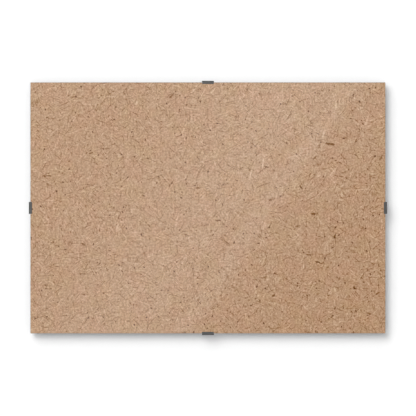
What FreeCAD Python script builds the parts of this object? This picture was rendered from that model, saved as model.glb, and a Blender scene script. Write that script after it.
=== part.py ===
import FreeCAD, Part
import math
import os

# A clip frame for one picture, upright as it hangs on a wall: a pane of glass on a backing board
# of the same size, held together by four spring clips, with a sawtooth hanger for each way up.
# +X is to the right as seen from the front, +Z is up, the glass faces -Y and the wall is at +Y.
# The origin is the point of the landscape hanger's middle notch that bears on the nail.
# All lengths are in millimetres.

Vector = FreeCAD.Vector

# Panel: glass and board, both cut to the size of the picture
panel_width = 297.0
panel_height = 210.0
glass_thickness = 2.0
glass_arris = 0.3
print_gap = 0.1
board_thickness = 3.0

# Saw kerfs in the back of the board, one for each clip's tongue
kerf_inset = 24.0
kerf_floor = 0.9
blade_diameter = 84.0

# Clips: bent from a strip of spring steel
clip_width = 10.0
clip_thickness = 0.6
clip_bend_radius = 0.4
lip_reach = 1.35
lip_gap = 0.05
lip_corner_radius = 0.5
web_gap = 0.7
arm_gap = 0.2
arm_bend_radius = 0.7
crest_height = 4.5
crest_span = 6.6
crest_bend_radius = 12.0
tongue_width = 7.0
tongue_corner_radius = 0.8
tongue_bend_radius = 0.5
tongue_floor_gap = 0.4
tongue_side_gap = 0.28
tongue_seat_gap = 0.05
window_width = 3.0
window_length = 6.0

# Hangers: stamped from sheet steel, their ends pressed into the board as prongs
hanger_thickness = 0.8
hanger_bend_radius = 0.4
hanger_clearance = 14.0
nail_gap = 1.6
plate_above_notch = 7.0
notch_depth = 1.5
middle_notch_extra = 0.5
notch_pitch = 2.6
notches_each_side = 4
bridge_land = 1.5
joggle_length = 1.8
tab_length = 7.6
prong_floor = 0.8
prong_root_depth = 0.4
prong_count = 2

# One overrun for every cutter that has to pass through a face
overrun = 1.0

# Shares and angles: the crest's place on the way to the kerf, and the most of a run beside it
# that one bend may take
crest_place_share = 0.47
bend_run_share = 0.48
quarter_turn = 90.0

# Sizes and places worked out from those above
board_back_y = -(nail_gap + hanger_thickness / 2)
board_front_y = board_back_y - board_thickness
glass_back_y = board_front_y - print_gap
glass_front_y = glass_back_y - glass_thickness
kerf_depth = board_thickness - kerf_floor
tongue_depth = kerf_depth - tongue_floor_gap
prong_depth = board_thickness - prong_floor
notch_count = 2 * notches_each_side + 1
middle_notch_depth = notch_depth + middle_notch_extra
hook_inset = kerf_inset + hanger_clearance + plate_above_notch
panel_centre_z = hook_inset - panel_height / 2

origin = Vector(0, 0, 0)
across = Vector(1, 0, 0)
back = Vector(0, 1, 0)
up = Vector(0, 0, 1)

# Each clip's node, its turn about the Y axis from the top side, and its distance from the centre
clip_places = (
    ("clip_top", 0, panel_height / 2),
    ("clip_right", quarter_turn, panel_width / 2),
    ("clip_bottom", 2 * quarter_turn, panel_height / 2),
    ("clip_left", -quarter_turn, panel_width / 2),
)


def unit(vector):
    return Vector(vector).normalize()


def left_of(direction):
    return Vector(-direction.y, direction.x, 0)


def strip_side(corners, bend_radii, offset, place):
    """Edges of a line beside the corners, a signed offset to their left, with tangent bends."""
    edges = []
    here = corners[0] + left_of(unit(corners[1] - corners[0])) * offset
    for before, corner, after, radius in zip(corners, corners[1:], corners[2:], bend_radii):
        way_in = unit(corner - before)
        way_out = unit(after - corner)
        hand = math.copysign(1, way_in.cross(way_out).z)
        run = min((corner - before).Length, (after - corner).Length)
        slope = math.tan(way_in.getAngle(way_out) / 2)
        tangent = min(radius * slope, run * bend_run_share)
        centre = corner - way_in * tangent + left_of(way_in) * hand * tangent / slope
        side_radius = tangent / slope - hand * offset
        bend_start = centre - left_of(way_in) * hand * side_radius
        bend_middle = centre + unit(corner - centre) * side_radius
        bend_end = centre - left_of(way_out) * hand * side_radius
        edges.append(Part.makeLine(place(here), place(bend_start)))
        edges.append(Part.Arc(place(bend_start), place(bend_middle), place(bend_end)).toShape())
        here = bend_end
    end = corners[-1] + left_of(unit(corners[-1] - corners[-2])) * offset
    edges.append(Part.makeLine(place(here), place(end)))
    return edges, end


def bent_strip(corners, inside_radii, thickness, place, sweep, round_start):
    """Solid strip bent through the corners of its middle line, with one rounded end if wanted."""
    half = thickness / 2
    bend_radii = [radius + half for radius in inside_radii]
    left_edges, left_end = strip_side(corners, bend_radii, half, place)
    right_edges, right_end = strip_side(corners, bend_radii, -half, place)
    first_way = unit(corners[1] - corners[0])
    left_start = corners[0] + left_of(first_way) * half
    right_start = corners[0] - left_of(first_way) * half
    if round_start:
        nose = corners[0] - first_way * half
        start_cap = Part.Arc(place(right_start), place(nose), place(left_start)).toShape()
    else:
        start_cap = Part.makeLine(place(right_start), place(left_start))
    end_cap = Part.makeLine(place(left_end), place(right_end))
    outline = Part.Wire([start_cap] + left_edges + [end_cap] + right_edges[::-1])
    return Part.Face(outline).extrude(sweep)


def prism(points, sweep):
    """Solid swept from a closed outline of straight sides."""
    return Part.Face(Part.makePolygon(points + points[:1])).extrude(sweep)


def box_between(low, high):
    size = high - low
    return Part.makeBox(size.x, size.y, size.z, low)


def corner_cutter(radius, depth):
    """Rounds a square corner that stands at the origin, in the -X -Y quadrant, along Z."""
    block = box_between(Vector(-radius, -radius, 0), Vector(overrun, overrun, depth))
    return block.cut(Part.makeCylinder(radius, depth, Vector(-radius, -radius, 0)))


def on_side(shape, turn, distance):
    """Moves a shape from the top side's edge at the origin to one side of the panel."""
    placed = shape.copy()
    placed.translate(up * distance)
    placed.rotate(origin, back, turn)
    placed.translate(up * panel_centre_z)
    return placed


# Glass

def glass_pane():
    """Float glass with every edge ground to a narrow arris, a sheet of paper's room off the board."""
    low = Vector(-panel_width / 2, glass_front_y, panel_centre_z - panel_height / 2)
    high = Vector(panel_width / 2, glass_back_y, panel_centre_z + panel_height / 2)
    pane = box_between(low, high)
    return pane.makeChamfer(glass_arris, pane.Edges)


# Clips
# Their points are (z, y): z runs outwards from the panel's edge, y backwards from the nail.

def lip_tip():
    """Centre of the lip's rounded tip, about which the clip swings off."""
    half = clip_thickness / 2
    return Vector(half - lip_reach, glass_front_y - lip_gap - half, 0)


def tongue_line():
    """Middle of the tongue and its way into the kerf, which is its own path in that swing."""
    middle = Vector(-kerf_inset, board_back_y - tongue_depth / 2, 0)
    return middle, left_of(unit(middle - lip_tip()))


def kerf_width():
    """Width that clears the leaning tongue on both sides."""
    way = tongue_line()[1]
    lean = tongue_depth * way.x / way.y
    return clip_thickness / -way.y + lean + 2 * tongue_side_gap


def clip_corners():
    """Middle line of the strip: lip, web, arched arm and the tongue that enters the kerf."""
    half = clip_thickness / 2
    tip = lip_tip()
    web_z = web_gap + half
    crest_y = board_back_y + crest_height - half
    crest_z = -kerf_inset * crest_place_share
    tongue_middle, way = tongue_line()
    root_rise = half + tongue_seat_gap + tongue_depth / 2
    end_drop = tongue_depth / 2
    return [
        tip,
        Vector(web_z, tip.y, 0),
        Vector(web_z, board_back_y + half + arm_gap, 0),
        Vector(crest_z + crest_span / 2, crest_y, 0),
        Vector(crest_z - crest_span / 2, crest_y, 0),
        tongue_middle - way * (root_rise / -way.y),
        tongue_middle + way * (end_drop / -way.y),
    ]


def clip():
    """Spring clip of the top side, its panel edge at z = 0."""
    corners = clip_corners()
    inside_radii = [
        clip_bend_radius,
        arm_bend_radius,
        crest_bend_radius,
        crest_bend_radius,
        tongue_bend_radius,
    ]
    half_width = clip_width / 2

    def place(point):
        return Vector(-half_width, point.y, point.x)

    strip = bent_strip(corners, inside_radii, clip_thickness, place, across * clip_width, True)
    slope_start = corners[4].x
    tongue_root = corners[5].x
    for cutter in (taper_cutter(slope_start, tongue_root), lip_cutter(), tongue_cutter()):
        strip = strip.cut([cutter, cutter.mirror(origin, across)])
    return strip.cut(window_cutter((slope_start + tongue_root) / 2))


def taper_cutter(slope_start, tongue_root):
    """Narrows the arm's inner slope from the clip's full width to the tongue's, on one side."""
    end_z = -kerf_inset - kerf_width()
    wide_x = clip_width / 2
    narrow_x = tongue_width / 2
    outline = [
        Vector(wide_x, glass_front_y, slope_start),
        Vector(narrow_x, glass_front_y, tongue_root),
        Vector(narrow_x, glass_front_y, end_z),
        Vector(wide_x + overrun, glass_front_y, end_z),
        Vector(wide_x + overrun, glass_front_y, slope_start),
    ]
    return prism(outline, back * (board_back_y + crest_height + overrun - glass_front_y))


def lip_cutter():
    """Rounds one corner of the lip as seen from the front."""
    depth = lip_gap + clip_thickness + overrun
    cutter = corner_cutter(lip_corner_radius, depth)
    cutter.rotate(origin, across, -quarter_turn)
    cutter.translate(Vector(clip_width / 2, glass_front_y - depth, -lip_reach))
    return cutter


def tongue_cutter():
    """Rounds one corner of the tongue's end."""
    cutter = corner_cutter(tongue_corner_radius, 2 * kerf_width())
    cutter.rotate(origin, across, 2 * quarter_turn)
    cutter.translate(
        Vector(tongue_width / 2, board_back_y - tongue_depth, kerf_width() - kerf_inset)
    )
    return cutter


def window_cutter(middle_z):
    """Round-ended hole through the arm's inner slope, where a tool prises the tongue out."""
    depth = crest_height + overrun
    straight = (window_length - window_width) / 2
    window = box_between(
        Vector(-window_width / 2, board_back_y, middle_z - straight),
        Vector(window_width / 2, board_back_y + depth, middle_z + straight),
    )
    ends = [
        Part.makeCylinder(window_width / 2, depth, Vector(0, board_back_y, end_z), back)
        for end_z in (middle_z - straight, middle_z + straight)
    ]
    return window.fuse(ends)


# Hangers
# Modelled with the middle notch at the origin and the notches open downwards.

def hanger():
    """Sawtooth hanger: a raised bridge between two tabs, each bent down into pointed prongs."""
    half = hanger_thickness / 2
    tab_y = board_back_y + half
    prong_tip_y = board_back_y - prong_depth
    bridge_end = notch_count * notch_pitch / 2 + bridge_land
    tab_start = bridge_end + joggle_length
    tab_end = tab_start + tab_length
    right = [
        Vector(bridge_end, 0, 0),
        Vector(tab_start, tab_y, 0),
        Vector(tab_end, tab_y, 0),
        Vector(tab_end, prong_tip_y, 0),
    ]
    left = [Vector(-corner.x, corner.y, 0) for corner in right[::-1]]
    inside_radii = [hanger_bend_radius] * (len(left) + len(right) - 2)

    def place(point):
        return Vector(point.x, point.y, -middle_notch_depth)

    plate_height = middle_notch_depth + plate_above_notch
    strip = bent_strip(left + right, inside_radii, hanger_thickness, place, up * plate_height, False)
    return strip.cut([notch_cutter(), prong_cutter(tab_end + hanger_thickness, plate_height)])


def notch_cutter():
    """Zigzag that leaves the teeth along the lower edge of the bridge."""
    depth = nail_gap + hanger_thickness
    low_z = -middle_notch_depth - overrun
    first = -notch_count * notch_pitch / 2
    points = [Vector(first, -nail_gap, low_z), Vector(first, -nail_gap, -middle_notch_depth)]
    for index in range(notch_count):
        start = first + index * notch_pitch
        rise = middle_notch_depth if index == notch_count // 2 else notch_depth
        points.append(Vector(start + notch_pitch / 2, -nail_gap, rise - middle_notch_depth))
        points.append(Vector(start + notch_pitch, -nail_gap, -middle_notch_depth))
    points.append(Vector(-first, -nail_gap, low_z))
    return prism(points, back * depth)


def prong_cutter(half_length, plate_height):
    """Zigzag that leaves the pointed prongs along both ends of the hanger."""
    root_y = board_back_y - prong_root_depth
    tip_y = board_back_y - prong_depth
    low_y = tip_y - overrun
    low_z = -middle_notch_depth
    pitch = plate_height / prong_count
    points = [Vector(-half_length, low_y, low_z), Vector(-half_length, root_y, low_z)]
    for index in range(prong_count):
        start = low_z + index * pitch
        points.append(Vector(-half_length, tip_y, start + pitch / 2))
        points.append(Vector(-half_length, root_y, start + pitch))
    points.append(Vector(-half_length, low_y, low_z + plate_height))
    return prism(points, across * 2 * half_length)


def portrait_hanger():
    """The same hanger turned to the left-hand side, which is uppermost in portrait."""
    turned = hanger()
    turned.rotate(origin, back, -quarter_turn)
    turned.translate(Vector(hook_inset - panel_width / 2, 0, panel_centre_z))
    return turned


# Backing board

def kerf_cutter():
    """Disc of the round saw blade at its full depth, for the clip of the top side."""
    blade_radius = blade_diameter / 2
    hub = Vector(0, board_back_y - kerf_depth + blade_radius, -kerf_inset - kerf_width() / 2)
    return Part.makeCylinder(blade_radius, kerf_width(), hub, up)


def backing_board(hangers):
    """Hardboard with four blind kerfs and the dents that the hangers' prongs press into it."""
    low = Vector(-panel_width / 2, board_front_y, panel_centre_z - panel_height / 2)
    high = Vector(panel_width / 2, board_back_y, panel_centre_z + panel_height / 2)
    kerfs = [on_side(kerf_cutter(), turn, distance) for _, turn, distance in clip_places]
    return box_between(low, high).cut(kerfs + hangers)


def build():
    """Every node of the frame with its solid, each in its place."""
    nodes = {"hanger_landscape": hanger(), "hanger_portrait": portrait_hanger()}
    nodes["backing_board"] = backing_board(list(nodes.values()))
    nodes["glass_pane"] = glass_pane()
    for name, turn, distance in clip_places:
        nodes[name] = on_side(clip(), turn, distance)
    return nodes


os.makedirs("parts", exist_ok=True)
parts = build()
for name, shape in parts.items():
    shape.exportStep("parts/" + name + ".step")
    print(name, "solids:", len(shape.Solids), "volume:", round(shape.Volume, 3), "mm3")
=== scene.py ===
import math

import bpy
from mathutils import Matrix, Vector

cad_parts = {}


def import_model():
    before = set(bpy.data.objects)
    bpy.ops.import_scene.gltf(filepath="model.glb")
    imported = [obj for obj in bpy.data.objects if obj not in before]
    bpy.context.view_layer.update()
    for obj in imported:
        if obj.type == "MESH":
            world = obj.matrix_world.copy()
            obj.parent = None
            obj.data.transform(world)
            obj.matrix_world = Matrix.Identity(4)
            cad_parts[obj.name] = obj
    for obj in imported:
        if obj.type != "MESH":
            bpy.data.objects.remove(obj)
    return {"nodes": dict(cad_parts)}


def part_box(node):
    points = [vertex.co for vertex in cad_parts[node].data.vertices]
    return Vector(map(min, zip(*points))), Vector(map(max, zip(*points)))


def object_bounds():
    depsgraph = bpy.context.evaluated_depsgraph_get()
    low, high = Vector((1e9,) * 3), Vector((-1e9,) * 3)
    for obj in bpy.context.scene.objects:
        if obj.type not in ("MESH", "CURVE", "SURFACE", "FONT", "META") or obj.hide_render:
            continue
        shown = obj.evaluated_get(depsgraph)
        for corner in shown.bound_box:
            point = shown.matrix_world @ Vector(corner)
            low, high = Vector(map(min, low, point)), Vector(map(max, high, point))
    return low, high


# A clip frame as it hangs: an empty A4 panel of glass on raw hardboard, held by four spring clips.
# +X is to the right as seen from the front, +Z is up, the glass faces -Y and the wall is at +Y.
# Lengths are in metres, except that the materials and the sheen count in millimetres.

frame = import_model()
cad_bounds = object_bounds()
nodes = frame["nodes"]

CLIPS = ("clip_top", "clip_right", "clip_bottom", "clip_left")
HANGERS = ("hanger_landscape", "hanger_portrait")

board_low, board_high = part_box("backing_board")
glass_low, glass_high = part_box("glass_pane")
panel_centre = (board_low + board_high) / 2
wall_y = cad_bounds[1].y

MM = 1000.0
WHITE = (1.0, 1.0, 1.0, 1.0)


def linear(red, green, blue):
    """A colour as seen on a screen, 0 to 255, in the renderer's linear values."""
    def channel(value):
        share = value / 255
        return share / 12.92 if share <= 0.04045 else ((share + 0.055) / 1.055) ** 2.4
    return (channel(red), channel(green), channel(blue), 1.0)


class Tree:
    """Short calls that add nodes to the tree of a material, a group or the world, and join them up.

    Each value that is given is a constant or another node's output.
    """

    def __init__(self, tree):
        self.tree = tree

    def put(self, socket, value):
        """Joins an output to the socket, or sets the socket itself."""
        if hasattr(value, "is_output"):
            self.tree.links.new(value, socket)
        else:
            socket.default_value = value

    def add(self, kind, settings=None, **inputs):
        """New node with those settings and inputs, where _ stands for the space in an input's name."""
        node = self.tree.nodes.new(kind)
        for name, value in (settings or {}).items():
            setattr(node, name, value)
        for name, value in inputs.items():
            self.put(node.inputs[name.replace("_", " ")], value)
        return node

    def math(self, operation, first, second=0.0, third=0.0):
        node = self.add("ShaderNodeMath", {"operation": operation})
        for socket, value in zip(node.inputs, (first, second, third)):
            self.put(socket, value)
        return node.outputs[0]

    def vector(self, operation, first, second=None, third=None, scale=None):
        node = self.add("ShaderNodeVectorMath", {"operation": operation})
        for socket, value in zip(node.inputs, (first, second, third, scale)):
            if value is not None:
                self.put(socket, value)
        return node.outputs[0]

    def join(self, x, y):
        return self.add("ShaderNodeCombineXYZ", X=x, Y=y).outputs[0]

    def split(self, vector):
        return self.add("ShaderNodeSeparateXYZ", Vector=vector).outputs

    def turn(self, vector, angle):
        """The vector turned about Z."""
        node = self.add("ShaderNodeVectorRotate", {"rotation_type": "Z_AXIS"}, Vector=vector, Angle=angle)
        return node.outputs[0]

    def share(self, value, low, high):
        """How far the value lies on its way from low to high, from 0 to 1."""
        node = self.add("ShaderNodeMapRange", Value=value, From_Min=low, From_Max=high)
        return node.outputs["Result"]

    def smooth(self, value, low, high, out_low=0.0, out_high=1.0):
        """Soft step that goes from out_low to out_high as the value goes from low to high."""
        node = self.add(
            "ShaderNodeMapRange",
            {"interpolation_type": "SMOOTHSTEP"},
            Value=value,
            From_Min=low,
            From_Max=high,
            To_Min=out_low,
            To_Max=out_high,
        )
        return node.outputs["Result"]

    def mix(self, share, first, second, blend="MIX"):
        """Mix of two colours."""
        node = self.add("ShaderNodeMix", {"data_type": "RGBA", "blend_type": blend})
        for index, value in ((0, share), (6, first), (7, second)):
            self.put(node.inputs[index], value)
        return node.outputs[2]

    def mix_shader(self, share, first, second):
        node = self.add("ShaderNodeMixShader", Fac=share)
        self.put(node.inputs[1], first)
        self.put(node.inputs[2], second)
        return node.outputs[0]

    def ramp(self, value, stops):
        """The colour that belongs to a value, by stops of value and colour in rising order."""
        first = stops[0][0]
        last = stops[-1][0]
        node = self.add("ShaderNodeValToRGB", Fac=self.share(value, first, last))
        elements = node.color_ramp.elements
        for index, (place, colour) in enumerate(stops):
            element = elements[index] if index < 2 else elements.new(1.0)
            element.position = (place - first) / (last - first)
            element.color = colour
        return node.outputs["Color"]

    def noise(self, place, scale, detail=0.0, roughness=0.5, size="2D"):
        return self.add(
            "ShaderNodeTexNoise",
            {"noise_dimensions": size},
            Vector=place,
            Scale=scale,
            Detail=detail,
            Roughness=roughness,
        ).outputs

    def millimetres(self):
        """The piece's own coordinates in millimetres."""
        place = self.add("ShaderNodeTexCoord").outputs["Object"]
        return self.vector("SCALE", place, scale=MM)

    def facing(self, kind="True Normal"):
        """1 where the surface faces the front or the back, 0 where it is square to both."""
        normal = self.add("ShaderNodeNewGeometry").outputs[kind]
        return self.math("ABSOLUTE", self.split(normal)["Y"])

    def looked_at(self):
        """1 for what the camera sees, straight on, mirrored or through the glass, else 0."""
        path = self.add("ShaderNodeLightPath").outputs
        indirect = self.math("MAXIMUM", path["Is Glossy Ray"], path["Is Transmission Ray"])
        return self.math("MAXIMUM", path["Is Camera Ray"], indirect)

    def surface(self, shader):
        self.add("ShaderNodeOutputMaterial", Surface=shader)


def new_material(name):
    material = bpy.data.materials.new(name)
    material.use_nodes = True
    material.node_tree.nodes.clear()
    return material, Tree(material.node_tree)


def new_group(name, inputs, results):
    """Node group with those inputs and results, its tree, and the outputs that bring what it is given."""
    group = bpy.data.node_groups.new(name, "ShaderNodeTree")
    for label, kind in inputs:
        group.interface.new_socket(label, in_out="INPUT", socket_type="NodeSocket" + kind)
    for label in results:
        group.interface.new_socket(label, in_out="OUTPUT", socket_type="NodeSocketFloat")
    t = Tree(group)
    return group, t, t.add("NodeGroupInput").outputs


def dress(node_name, material):
    """Gives a CAD node its finish."""
    mesh = nodes[node_name].data
    for index in range(len(mesh.materials)):
        mesh.materials[index] = material
    if not mesh.materials:
        mesh.materials.append(material)


def hide_from(thing, *rays):
    """Lets the rays of those kinds pass the thing."""
    for kind in rays:
        setattr(thing, "visible_" + kind, False)


# Hardboard: pressed wood fibre, smooth in front, with the press screen's mark behind and sawn edges

# Tone says how much lighter or darker than its mean the board is, in screen levels of 255.
# These are the colours that it has at some tones.
TONE_COLOURS = (
    (-110, (85, 38, 14)),
    (-60, (134, 88, 38)),
    (0, (193, 152.8, 122)),
    (35, (219.5, 183, 155)),
    (70, (237, 210, 180)),
)
# Even grain over the whole board: its tone from darkest to lightest, and its noise cells to a millimetre
GRAIN_TONE = 50
GRAIN_SCALE = 0.66
# Painted light falling off down the panel: tone at the top edge, and at the lower edge with a minus
TOP_PAINTED_LIGHT_TONE = 2.4

# Mats are patches of side by side strokes: cell size, stroke length and width in millimetres, tone, and seed
MATS = (
    (9.0, 8.0, 0.64, 50, 7.0),
    (6.5, 6.5, 0.55, 54, 23.0),
)
# The weakest and the strongest mat, and the random numbers from 0 to 1 between which strength rises
MAT_STRENGTHS = (0.25, 1.7)
MAT_CHOICE = (0.1, 1.0)
# Up to how far apart the mats take their strokes from one noise, in stroke lengths and in stroke widths
MAT_SHIFTS = (50.0, 90.0)

# Single fibres: cell size, length and width in millimetres, tone, and seed
FIBRES = (
    (8.0, 12.0, 0.58, 27, 3.0),
    (5.6, 8.0, 0.54, 21, 17.0),
    (11.0, 16.0, 0.60, 32, 41.0),
    (8.8, 13.0, 0.54, 29, 211.0),
    (7.0, 8.0, 0.54, -58, 53.0),
    (5.2, 5.5, 0.50, -50, 67.0),
    (9.5, 11.0, 0.56, -58, 97.0),
    (7.6, 8.0, 0.52, -56, 223.0),
)
# The shortest and the longest fibre, as shares of the length given above
FIBRE_SHORTEST = 0.6
FIBRE_LONGEST = 1.4
# A bent fibre strays to the side by up to half of this times the square of the way from its middle, both
# in millimetres
FIBRE_BEND = 0.03
# Powers: the higher the first one is, the blunter a fibre's ends, and the higher the second, the more
# faint fibres there are
FIBRE_TAPER = 2.6
FIBRE_RARITY = 1.3
# Where a fibre begins at its side and where it is full, in half widths from its middle line
FIBRE_EDGE = (1.15, 0.3)

# Specks: the same as for fibres, but only where a cell's random number from 0 to 1 lies above this choice
SPECKS = (
    (6.2, 1.6, 1.2, -120, 181.0),
    (4.4, 1.8, 1.0, -62, 199.0),
)
SPECK_CHOICE = 0.64

# Mats and fibres wander: noise cells to a millimetre, and up to how many millimetres to the right and up
WANDER_SCALE = 0.10
WANDER_REACH = (1.5, 1.5, 0.0)
# How far, in millimetres for one level of tone, a layer is pushed aside by what lies below it
LAYER_NUDGE = (0.001, -0.001, 0.0)

# The most visible flecks, each with its millimetres to the right of the panel's middle and above it, its
# length and width in millimetres, its degrees of turn and its tone. A program measured the strongest spots
# in the photo: most places, turns and lengths come from it, and widths and tones were set one by one.
FLECKS = (
    (102.2, 53.5, 8.4, 2.1, -8, -68),
    (88.2, -5.0, 4.6, 2.1, 0, -70),
    (106.2, -23.4, 4.4, 1.4, 64, -76),
    (52.7, 6.7, 3.8, 1.9, 17, -56),
    (77.8, 17.4, 3.6, 1.8, -55, -70),
    (89.5, 42.0, 4.0, 1.6, 46, -62),
    (144.7, 41.8, 5.4, 2.0, 61, -42),
    (123.8, 56.0, 4.2, 1.3, 61, -62),
    (8.3, -10.5, 5.2, 1.3, 0, -78),
    (-97.9, 46.0, 4.0, 1.2, 22, -66),
    (15.5, -28.8, 7.6, 1.1, -42, -56),
    (75.3, -15.1, 5.0, 1.1, 15, -46),
    (-8.4, 16.7, 4.6, 1.8, 1, -52),
    (142.2, -71.5, 4.2, 1.6, 25, -50),
    (92.4, -45.6, 6.0, 1.4, -18, -68),
    (-134.6, 26.8, 8.2, 1.3, 3, -56),
    (-53.9, 67.5, 16.0, 0.7, -51, -44),
    (-103.9, -30.5, 5.0, 1.5, -28, -50),
    (48.8, 34.4, 4.0, 1.2, -13, -66),
    (54.8, -73.2, 3.6, 1.5, 45, -58),
    (85.3, 27.6, 3.8, 1.2, 72, -66),
    (-18.1, -22.6, 4.8, 1.2, -15, -56),
    (84.2, -39.2, 5.0, 1.1, -15, -62),
    (122.4, -66.8, 3.0, 1.6, -63, -80),
    (-30.5, 93.7, 6.4, 1.5, 46, -46),
    (134.7, -88.4, 4.6, 1.4, -22, -50),
    (-11.7, 98.7, 10.5, 1.0, 55, 36),
    (-20.9, 64.4, 9.5, 0.9, 55, 30),
    (-4.0, 96.5, 9.0, 0.9, 62, 34),
    (4.5, 98.0, 8.0, 0.9, 50, 30),
    (104.9, 30.4, 11.6, 1.5, 52, 28),
    (107.3, -71.1, 9.8, 1.6, -76, 25),
    (96.8, 61.1, 8.5, 1.7, 81, 26),
    (133.1, 72.6, 10.7, 1.3, 76, 27),
    (107.2, 86.3, 8.4, 1.2, 90, 36),
    (36.1, 29.6, 11.3, 1.1, 81, 34),
    (-59.7, 87.6, 6.4, 1.7, 68, 34),
    (111.8, 17.9, 7.8, 1.4, 41, 30),
    (46.0, 37.9, 9.2, 1.4, 80, 30),
    (-26.3, -11.6, 8.8, 1.4, 83, 28),
    (102.2, -69.7, 7.9, 1.3, 62, 28),
    (39.6, -68.5, 8.2, 1.8, -76, 22),
)
# Up to how far a fleck's outline strays, in millimetres
FLECK_RAG = 1.0
# Where a fleck begins and where it is full, as shares of its half length and half width
FLECK_EDGE = (1.2, 0.7)

# Slow tints: noise cells to a millimetre, then the noise's channel, the values between which the tint comes
# in, and the colour that it multiplies by. One is reddish, the other ochre.
TINT_SCALE = 0.055
TINTS = (
    ("Red", 0.42, 0.66, (1.025, 0.985, 0.99, 1.0)),
    ("Green", 0.44, 0.68, (1.0, 1.008, 0.955, 1.0)),
)

# The back face: how near to it a point counts as on it and how far off it lies in the pattern, both in
# millimetres, and how strong its tones are as a share of the front's
BACK_MARGIN = 0.2
BACK_SHIFT = 700.0
BACK_STRENGTH = 0.5455
# The press screen's weave on the back face: how often it repeats, in millimetres, and its depth in metres
SCREEN_PITCH = 1.6
SCREEN_DEPTH = 0.00008
# The sawn edges: they face the front or back by less than this, and are darker by this tone
SAWN_FACING = 0.5
SAWN_TONE = -22
BOARD_ROUGHNESS = 0.75
BOARD_SPECULAR = 0.3
# The colour that the back and the edges have for the wall
BOUNCE_COLOUR = (0.03, 0.03, 0.03, 1.0)

LAYER_INPUTS = (
    ("Place", "Vector"), ("Cell", "Float"), ("Length", "Float"), ("Width", "Float"), ("Seed", "Float"),
)
FLECK_INPUTS = (("Place", "Vector"), ("Middle", "Vector"), ("Turn", "Float"), ("Shape", "Vector"))


def layer_group(name, results):
    """Node group that gives each cell of a layer a turn and a bend of its own.

    Returned with it are its tree, what it is given, the cell's random numbers, and how far a point lies
    along and across the cell's bent middle line, in millimetres.
    """
    group, t, given = new_group(name, LAYER_INPUTS, results)
    scaled = t.vector("SCALE", given["Place"], scale=t.math("DIVIDE", 1.0, given["Cell"]))
    place = t.vector("ADD", scaled, t.join(given["Seed"], given["Seed"]))
    cells = t.add("ShaderNodeTexVoronoi", {"voronoi_dimensions": "2D"}, Vector=place, Scale=1.0).outputs
    random = t.add("ShaderNodeSeparateColor", Color=cells["Color"]).outputs
    away = t.vector("SUBTRACT", place, cells["Position"])
    local = t.split(t.turn(away, t.math("MULTIPLY", random["Red"], 2 * math.pi)))
    along = t.math("MULTIPLY", local["X"], given["Cell"])
    across = t.math("MULTIPLY", local["Y"], given["Cell"])
    bend = t.math("MULTIPLY", t.math("SUBTRACT", random["Green"], 0.5), FIBRE_BEND)
    across = t.math("SUBTRACT", across, t.math("MULTIPLY", bend, t.math("MULTIPLY", along, along)))
    return group, t, given, random, along, across


def fibre_group():
    """Node group: one layer of short curved fibres lying every way, one in each cell."""
    group, t, given, random, along, across = layer_group("fibre_layer", ("Mask", "Random"))
    length_share = t.math("MULTIPLY_ADD", random["Green"], FIBRE_LONGEST - FIBRE_SHORTEST, FIBRE_SHORTEST)
    half_length = t.math("MULTIPLY", t.math("MULTIPLY", given["Length"], 0.5), length_share)
    half_width = t.math("MULTIPLY", given["Width"], 0.5)
    along_share = t.math("DIVIDE", t.math("ABSOLUTE", along), half_length)
    across_share = t.math("DIVIDE", t.math("ABSOLUTE", across), half_width)
    taper = t.math("SUBTRACT", 1.0, t.math("POWER", along_share, FIBRE_TAPER))
    body = t.smooth(across_share, *FIBRE_EDGE)
    mask = t.math("MULTIPLY", body, t.math("MAXIMUM", taper, 0.0))
    t.add("NodeGroupOutput", Mask=mask, Random=random["Blue"])
    return group


def mat_group():
    """Node group: one layer of patches of side by side strokes, each patch lying its own way."""
    group, t, given, random, along, across = layer_group("mat_layer", ("Stroke",))
    run = t.math("DIVIDE", along, given["Length"])
    side = t.math("DIVIDE", across, given["Width"])
    run = t.math("ADD", run, t.math("MULTIPLY", random["Blue"], MAT_SHIFTS[0]))
    side = t.math("ADD", side, t.math("MULTIPLY", random["Red"], MAT_SHIFTS[1]))
    strokes = t.noise(t.join(run, side), 1.0, detail=1.0)["Fac"]
    strength = t.smooth(random["Green"], *MAT_CHOICE, *MAT_STRENGTHS)
    t.add("NodeGroupOutput", Stroke=t.math("MULTIPLY", t.math("SUBTRACT", strokes, 0.5), strength))
    return group


def fleck_group():
    """Node group: one fleck at a chosen place, of a chosen size and turn."""
    group, t, given = new_group("fleck", FLECK_INPUTS, ("Mask",))
    away = t.turn(t.vector("SUBTRACT", given["Place"], given["Middle"]), given["Turn"])
    reach = t.vector("MULTIPLY", away, given["Shape"])
    radii = t.add("ShaderNodeVectorMath", {"operation": "LENGTH"}, Vector=reach).outputs["Value"]
    t.add("NodeGroupOutput", Mask=t.smooth(radii, *FLECK_EDGE))
    return group


def nudged(t, tone, place):
    """The place of a layer, pushed aside by what lies below it."""
    return t.vector("MULTIPLY_ADD", tone, LAYER_NUDGE, place)


def layer(t, group, place, cell, length, width, seed):
    """A layer of the board's pattern, with all lengths in millimetres."""
    return t.add(
        "ShaderNodeGroup",
        {"node_tree": group},
        Place=place,
        Cell=cell,
        Length=length,
        Width=width,
        Seed=seed,
    ).outputs


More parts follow.
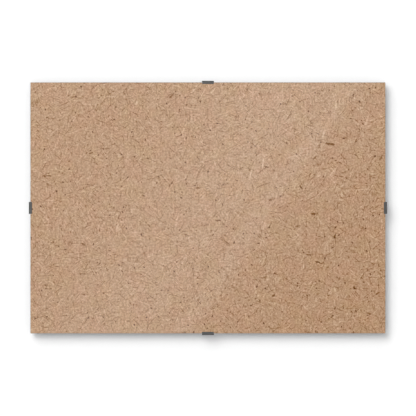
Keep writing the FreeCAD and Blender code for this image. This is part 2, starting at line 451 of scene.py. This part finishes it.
def board_tone(t, axes, flat, front):
    """The board's tone, from the even grain below to the flecks on top."""
    grain = t.noise(flat, GRAIN_SCALE)
    tone = t.math("MULTIPLY", t.math("SUBTRACT", grain["Fac"], 0.5), GRAIN_TONE)
    middle_z = panel_centre.z * MM
    half_height = (board_high.z - board_low.z) * MM / 2
    # Painted light: lighter above the panel's middle and darker below it
    above_middle = t.math("SUBTRACT", axes["Z"], middle_z)
    tone = t.math("MULTIPLY_ADD", above_middle, TOP_PAINTED_LIGHT_TONE / half_height, tone)

    wandering = t.vector("MULTIPLY_ADD", t.noise(flat, WANDER_SCALE)["Color"], WANDER_REACH, flat)
    mats = mat_group()
    for cell, length, width, level, seed in MATS:
        mat = layer(t, mats, nudged(t, tone, wandering), cell, length, width, seed)
        tone = t.math("MULTIPLY_ADD", mat["Stroke"], level, tone)

    fibres = fibre_group()
    for cell, length, width, level, seed in FIBRES:
        fibre = layer(t, fibres, nudged(t, tone, wandering), cell, length, width, seed)
        strength = t.math("MULTIPLY", t.math("POWER", fibre["Random"], FIBRE_RARITY), level)
        tone = t.math("MULTIPLY_ADD", fibre["Mask"], strength, tone)
    for cell, length, width, level, seed in SPECKS:
        speck = layer(t, fibres, nudged(t, tone, flat), cell, length, width, seed)
        strength = t.smooth(speck["Random"], SPECK_CHOICE, 1.0, 0.0, level)
        tone = t.math("MULTIPLY_ADD", speck["Mask"], strength, tone)

    # The grain makes the outlines ragged. It also moves them by half the rag on average, so the middles
    # are moved along with them.
    ragged = t.vector("MULTIPLY_ADD", grain["Color"], (FLECK_RAG, FLECK_RAG, 0.0), front)
    flecks = fleck_group()
    for x, z, length, width, turn, level in FLECKS:
        fleck = t.add(
            "ShaderNodeGroup",
            {"node_tree": flecks},
            Place=nudged(t, tone, ragged),
            Middle=(x + FLECK_RAG / 2, z + middle_z + FLECK_RAG / 2, 0.0),
            Turn=-math.radians(turn),
            Shape=(2 / length, 2 / width, 0.0),
        )
        tone = t.math("MULTIPLY_ADD", fleck.outputs["Mask"], level, tone)
    return tone


def screen_weave(t, axes, behind):
    """The press screen's weave as a bump on the back face."""
    turns = 2 * math.pi / SCREEN_PITCH
    across = t.math("SINE", t.math("MULTIPLY", axes["X"], turns))
    up = t.math("SINE", t.math("MULTIPLY", axes["Z"], turns))
    height = t.math("MULTIPLY", t.math("MULTIPLY", across, up), behind)
    return t.add("ShaderNodeBump", Height=height, Strength=1.0, Distance=SCREEN_DEPTH).outputs[0]


def hardboard():
    material, t = new_material("hardboard_fibres")
    axes = t.split(t.millimetres())
    behind = t.math("GREATER_THAN", axes["Y"], board_high.y * MM - BACK_MARGIN)
    sawn = t.math("LESS_THAN", t.facing(), SAWN_FACING)
    # Each face takes its pattern from two sums of the axes, and the back face from far off
    x = t.math("MULTIPLY_ADD", behind, BACK_SHIFT, axes["X"])
    flat = t.join(t.math("ADD", x, axes["Y"]), t.math("ADD", axes["Z"], axes["Y"]))
    front = t.join(x, axes["Z"])

    tone = board_tone(t, axes, flat, front)
    tone = t.math("MULTIPLY", tone, t.math("MULTIPLY_ADD", behind, BACK_STRENGTH - 1, 1.0))
    tone = t.math("MULTIPLY_ADD", sawn, SAWN_TONE, tone)
    colour = t.ramp(tone, [(level, linear(*rgb)) for level, rgb in TONE_COLOURS])
    slow = t.noise(flat, TINT_SCALE, detail=2.0, roughness=0.6)["Color"]
    channels = t.add("ShaderNodeSeparateColor", Color=slow).outputs
    for channel, low, high, tint in TINTS:
        colour = t.mix(t.smooth(channels[channel], low, high), colour, tint, "MULTIPLY")

    # The lit back and edges throw less of their warm light on the wall, where it would tint the shadow
    bounced = t.add("ShaderNodeLightPath").outputs["Is Diffuse Ray"]
    dimmed = t.math("MULTIPLY", bounced, t.math("MAXIMUM", behind, sawn))
    shader = t.add(
        "ShaderNodeBsdfPrincipled",
        Base_Color=t.mix(dimmed, colour, BOUNCE_COLOUR),
        Normal=screen_weave(t, axes, behind),
        Roughness=BOARD_ROUGHNESS,
        Specular_IOR_Level=BOARD_SPECULAR,
    )
    t.surface(shader.outputs[0])
    return material


# Float glass: clear, with a ground edge

GLASS_COLOUR = (0.985, 1.0, 0.993, 1.0)
GLASS_IOR = 1.5
# The share of each colour of light that passes the pane on its way to the board
GLASS_PASSES = (0.955, 0.965, 0.96, 1.0)
# The edge is as green as looking along the sheet: its darkest and its lightest colour, its grain's noise
# cells to a millimetre, and its roughness
EDGE_GREEN_DARK = (96, 112, 104)
EDGE_GREEN_LIGHT = (134, 152, 142)
EDGE_GRAIN_SCALE = 3.0
EDGE_ROUGHNESS = 0.45


def float_glass():
    material, t = new_material("float_glass_clear")
    clear = t.add(
        "ShaderNodeBsdfPrincipled",
        Base_Color=GLASS_COLOUR,
        Roughness=0.0,
        IOR=GLASS_IOR,
        Transmission_Weight=1.0,
    )
    # The edges and their arris are ground matt
    grain = t.noise(t.millimetres(), EDGE_GRAIN_SCALE, detail=2.0, size="3D")["Fac"]
    green = t.mix(grain, linear(*EDGE_GREEN_DARK), linear(*EDGE_GREEN_LIGHT))
    ground = t.add("ShaderNodeBsdfPrincipled", Base_Color=green, Roughness=EDGE_ROUGHNESS)
    pane = t.mix_shader(t.share(t.facing(), 1.0, 0.0), clear.outputs[0], ground.outputs[0])
    # Light from the lamps and from all around goes straight through to the board
    path = t.add("ShaderNodeLightPath").outputs
    light = t.math("MAXIMUM", path["Is Shadow Ray"], path["Is Diffuse Ray"])
    passed = t.add("ShaderNodeBsdfTransparent", Color=GLASS_PASSES)
    t.surface(t.mix_shader(light, pane, passed.outputs[0]))
    return material


# Steel strip

# Each steel: colour, how bright its grain and its rims are as shares of that, how much of its reflection
# is left at a glancing angle, and roughness. The darker rims are painted shade at the bends, where the strip
# turns away from the front or back, and darker raw steel at its sheared edges.
CLIP_STEEL = ((0.236, 0.238, 0.235), 0.80, 0.30, 0.12, 0.38)
HANGER_STEEL = ((0.56, 0.57, 0.59), 0.93, 0.80, 1.0, 0.26)
# Grain cells to a millimetre, and the noise values between which the colour goes from face to grain
STEEL_GRAIN_SCALE = 2.2
STEEL_GRAIN_EDGE = (0.35, 0.65)
# The noise values between which the roughness rises, and by how much it departs from the steel's own
ROUGHNESS_EDGE = (0.2, 0.8)
ROUGHNESS_SPREAD = 0.06
# How much a surface still faces the front or back where the rims' painted shade begins and where it is full
RIM_SHADE_EDGE = (0.9995, 0.90)


def steel(name, colour, grain_share, rim_shade_share, glancing, roughness):
    """Rolled strip: a fine grain on its faces, and painted shade at bends and darker raw steel at sheared
    edges.
    """
    def shade(share):
        return tuple(channel * share for channel in colour) + (1.0,)

    material, t = new_material(name)
    grain = t.noise(t.millimetres(), STEEL_GRAIN_SCALE, detail=3.0, roughness=0.6, size="3D")["Fac"]
    face = t.mix(t.smooth(grain, *STEEL_GRAIN_EDGE), shade(1.0), shade(grain_share))
    # Painted shade where the strip turns away from the front or back
    rim_shade = t.smooth(t.facing("Normal"), *RIM_SHADE_EDGE)
    smoothest = roughness - ROUGHNESS_SPREAD
    roughest = roughness + ROUGHNESS_SPREAD
    shader = t.add(
        "ShaderNodeBsdfPrincipled",
        Base_Color=t.mix(rim_shade, face, shade(rim_shade_share)),
        Roughness=t.smooth(grain, *ROUGHNESS_EDGE, smoothest, roughest),
        Metallic=1.0,
        Specular_Tint=(glancing, glancing, glancing, 1.0),
    )
    t.surface(shader.outputs[0])
    return material


# Stage: a white wall that keeps the frame's shadow, and a card whose mirror image makes the sheen

WALL_SIZE = 6.0
# How much of the wall's look is plain white, which lifts the shadow a little
WALL_WHITE_SHARE = 0.05

CARD_DISTANCE = 1.5
CARD_SIZE = 1.3
# The glass mirrors a bright room, cut off to the right of a slanting line through these two points, given
# in millimetres to the right of the panel's middle and above it
SHEEN_LINE_TOP = (128.6, 102.9)
SHEEN_LINE_BOTTOM = (-13.0, -102.9)
# How bright the mirrored room is, by the millimetres to the left of that line, set after the brightness
# that was measured across it in the photo
SHEEN_SHARES = (
    (-100, 0.0), (-50, 0.12), (-25, 0.26), (-5, 0.34), (0, 0.60), (5, 0.81), (11, 0.85), (18, 0.62),
    (22, 0.60), (33, 0.82), (50, 0.80), (84, 0.67), (109, 0.53), (134, 0.43), (167, 0.36), (230, 0.38),
)


def sheet(name, size, y, material):
    """Upright square of the stage that faces the front, as high as the panel's middle."""
    half = size / 2
    low = panel_centre.z - half
    high = panel_centre.z + half
    mesh = bpy.data.meshes.new(name)
    corners = [(-half, y, low), (half, y, low), (half, y, high), (-half, y, high)]
    mesh.from_pydata(corners, [], [range(len(corners))])
    mesh.materials.append(material)
    thing = bpy.data.objects.new(name, mesh)
    bpy.context.scene.collection.objects.link(thing)
    return thing


def wall():
    """White wall behind the frame.

    From behind it is clear, so that the frame's back can be seen before plain white. It neither shades
    anything nor is mirrored, and throws no light on the frame's back.
    """
    material, t = new_material("wall_white")
    paint = t.add("ShaderNodeBsdfDiffuse", Color=WHITE)
    glow = t.add("ShaderNodeEmission")
    lift = t.math("MULTIPLY", t.looked_at(), WALL_WHITE_SHARE)
    lifted = t.mix_shader(lift, paint.outputs[0], glow.outputs[0])
    clear = t.add("ShaderNodeBsdfTransparent")
    behind = t.add("ShaderNodeNewGeometry").outputs["Backfacing"]
    t.surface(t.mix_shader(behind, lifted, clear.outputs[0]))
    thing = sheet("wall", WALL_SIZE, wall_y, material)
    hide_from(thing, "shadow", "glossy", "diffuse")
    return thing


def sheen_card():
    """Card in front of the glass, seen in its mirror image alone.

    It is clear where the mirrored room is bright, and black where it is dark.
    """
    material, t = new_material("sheen_card")
    # Where on the panel the camera sees this point of the card mirrored, in millimetres from its middle
    axes = t.split(t.add("ShaderNodeTexCoord").outputs["Object"])
    scale = MM / (1 + CARD_DISTANCE / CAMERA_DISTANCE)
    x = t.math("MULTIPLY", axes["X"], scale)
    z = t.math("MULTIPLY", t.math("SUBTRACT", axes["Z"], panel_centre.z), scale)
    run_x = SHEEN_LINE_TOP[0] - SHEEN_LINE_BOTTOM[0]
    run_z = SHEEN_LINE_TOP[1] - SHEEN_LINE_BOTTOM[1]
    length = math.hypot(run_x, run_z)
    from_line = t.math(
        "ADD",
        t.math("MULTIPLY", t.math("SUBTRACT", x, SHEEN_LINE_TOP[0]), -run_z / length),
        t.math("MULTIPLY", t.math("SUBTRACT", z, SHEEN_LINE_TOP[1]), run_x / length),
    )
    bright = t.ramp(from_line, [(distance, (share, share, share, 1.0)) for distance, share in SHEEN_SHARES])
    dark = t.add("ShaderNodeEmission", Strength=0.0)
    clear = t.add("ShaderNodeBsdfTransparent")
    t.surface(t.mix_shader(bright, dark.outputs[0], clear.outputs[0]))
    thing = sheet("sheen_card", CARD_SIZE, glass_low.y - CARD_DISTANCE, material)
    hide_from(thing, "camera", "diffuse", "shadow", "volume_scatter")


# Light: large softboxes and an even white world

LAMP_DISTANCE = 12.0
# Each softbox: name, degrees to the left as seen from the front, degrees up, half its angle in degrees, and
# level, which is how bright that lamp alone makes a white wall. They were fitted to the photo's shadow with
# the help of a program.
LAMPS = (
    ("key_wide", 31.1, 40.5, 31.0, 0.395),
    ("key_narrow", 31.1, 40.5, 11.7, 0.14),
    ("front_fill", 0.0, 0.0, 30.0, 0.085),
)
# The one behind the frame, for views of its back
BACK_LAMP = ("back_lamp", 20.0, 25.0, 30.0, 0.44)
# The even light from all around
AMBIENT_LEVEL = 0.45
# Into how many strips each way a softbox is cut to add up its light
LIGHT_STEPS = 40


def span(middle, half_angle):
    """From where to where a softbox reaches at a distance of 1, by its angles in degrees."""
    return math.tan(math.radians(middle - half_angle)), math.tan(math.radians(middle + half_angle))


def lit_sky(left, right, low, high):
    """The light that a softbox with those ends gives the panel, where a whole sky as bright gives pi."""
    total = 0.0
    cell = (right - left) * (high - low) / LIGHT_STEPS**2
    for i in range(LIGHT_STEPS):
        for j in range(LIGHT_STEPS):
            x = left + (right - left) * (i + 0.5) / LIGHT_STEPS
            z = low + (high - low) * (j + 0.5) / LIGHT_STEPS
            total += cell / (1 + x * x + z * z) ** 2
    return total


def softbox(name, turn, rise, half_angle, level, side=-1):
    """Area lamp that lies parallel to the panel, in front of it, or behind it with side 1."""
    left, right = span(turn, half_angle)
    low, high = span(rise, half_angle)
    lamp = bpy.data.lights.new(name, "AREA")
    lamp.shape = "RECTANGLE"
    lamp.size = (right - left) * LAMP_DISTANCE
    lamp.size_y = (high - low) * LAMP_DISTANCE
    # An area lamp is as bright as its energy over pi and its area, and a white surface as its light over pi
    lamp.energy = level * math.pi**2 * lamp.size * lamp.size_y / lit_sky(left, right, low, high)
    thing = bpy.data.objects.new(name, lamp)
    bpy.context.scene.collection.objects.link(thing)
    middle_x = -(left + right) / 2 * LAMP_DISTANCE
    middle_z = panel_centre.z + (low + high) / 2 * LAMP_DISTANCE
    thing.location = (middle_x, side * LAMP_DISTANCE, middle_z)
    thing.rotation_euler = (math.radians(-90 * side), 0, 0)
    hide_from(thing, "camera", "glossy", "transmission")
    return thing


def link(lamp, receivers, blockers):
    """The lamp lights only the receivers, and only the blockers throw its shadow."""
    for kind, things in (("receiver", receivers), ("blocker", blockers)):
        group = bpy.data.collections.new(lamp.name + "_" + kind)
        for thing in things:
            group.objects.link(thing)
        setattr(lamp.light_linking, kind + "_collection", group)


def world():
    """Even light from all around, which is plain white where it is looked at."""
    sky = bpy.data.worlds.new("studio")
    bpy.context.scene.world = sky
    sky.use_nodes = True
    sky.node_tree.nodes.clear()
    t = Tree(sky.node_tree)
    strength = t.smooth(t.looked_at(), 0.0, 1.0, AMBIENT_LEVEL, 1.0)
    glow = t.add("ShaderNodeBackground", Color=WHITE, Strength=strength)
    t.add("ShaderNodeOutputWorld", Surface=glow.outputs[0])


# Camera: square on, from far off, so that the panel shows no perspective

CAMERA_DISTANCE = 2.5
CAMERA_REACH = 20.0
SENSOR_WIDTH = 0.036
# The width of the photo and of the panel in it, in pixels
PHOTO_PIXELS = 416
PANEL_PIXELS = 355.1
# How far the camera stands to the right of the panel's middle and above it
CAMERA_OFFSET = (0.00005, -0.00008)


def camera():
    view = bpy.data.cameras.new("camera")
    thing = bpy.data.objects.new("camera", view)
    bpy.context.scene.collection.objects.link(thing)
    seen_width = (glass_high.x - glass_low.x) * PHOTO_PIXELS / PANEL_PIXELS
    view.sensor_width = SENSOR_WIDTH * MM
    view.lens = SENSOR_WIDTH * MM * CAMERA_DISTANCE / seen_width
    view.clip_end = CAMERA_REACH
    right, above = CAMERA_OFFSET
    thing.location = (panel_centre.x + right, glass_low.y - CAMERA_DISTANCE, panel_centre.z + above)
    thing.rotation_euler = (math.radians(90), 0, 0)
    bpy.context.scene.camera = thing


bpy.context.scene.view_settings.view_transform = "Standard"
camera()
world()
stage_wall = wall()
sheen_card()
panel = [nodes[name] for name in ("backing_board", "glass_pane") + HANGERS]
pieces = panel + [nodes[name] for name in CLIPS]
# Each lamp is made twice, because in the photo the clips throw a shadow on the wall but none on the board
for name, turn, rise, half_angle, level in LAMPS:
    link(softbox(name + "_wall", turn, rise, half_angle, level), [stage_wall], pieces)
    link(softbox(name + "_frame", turn, rise, half_angle, level), pieces, panel)
softbox(*BACK_LAMP, side=1)

dress("backing_board", hardboard())
dress("glass_pane", float_glass())
clip_steel = steel("spring_steel_dark", *CLIP_STEEL)
for clip in CLIPS:
    dress(clip, clip_steel)
    # The photo's board is no darker beside a clip, so the light that the board gathers passes the clips
    hide_from(nodes[clip], "diffuse")
hanger_steel = steel("zinc_steel_bright", *HANGER_STEEL)
for hanger in HANGERS:
    dress(hanger, hanger_steel)
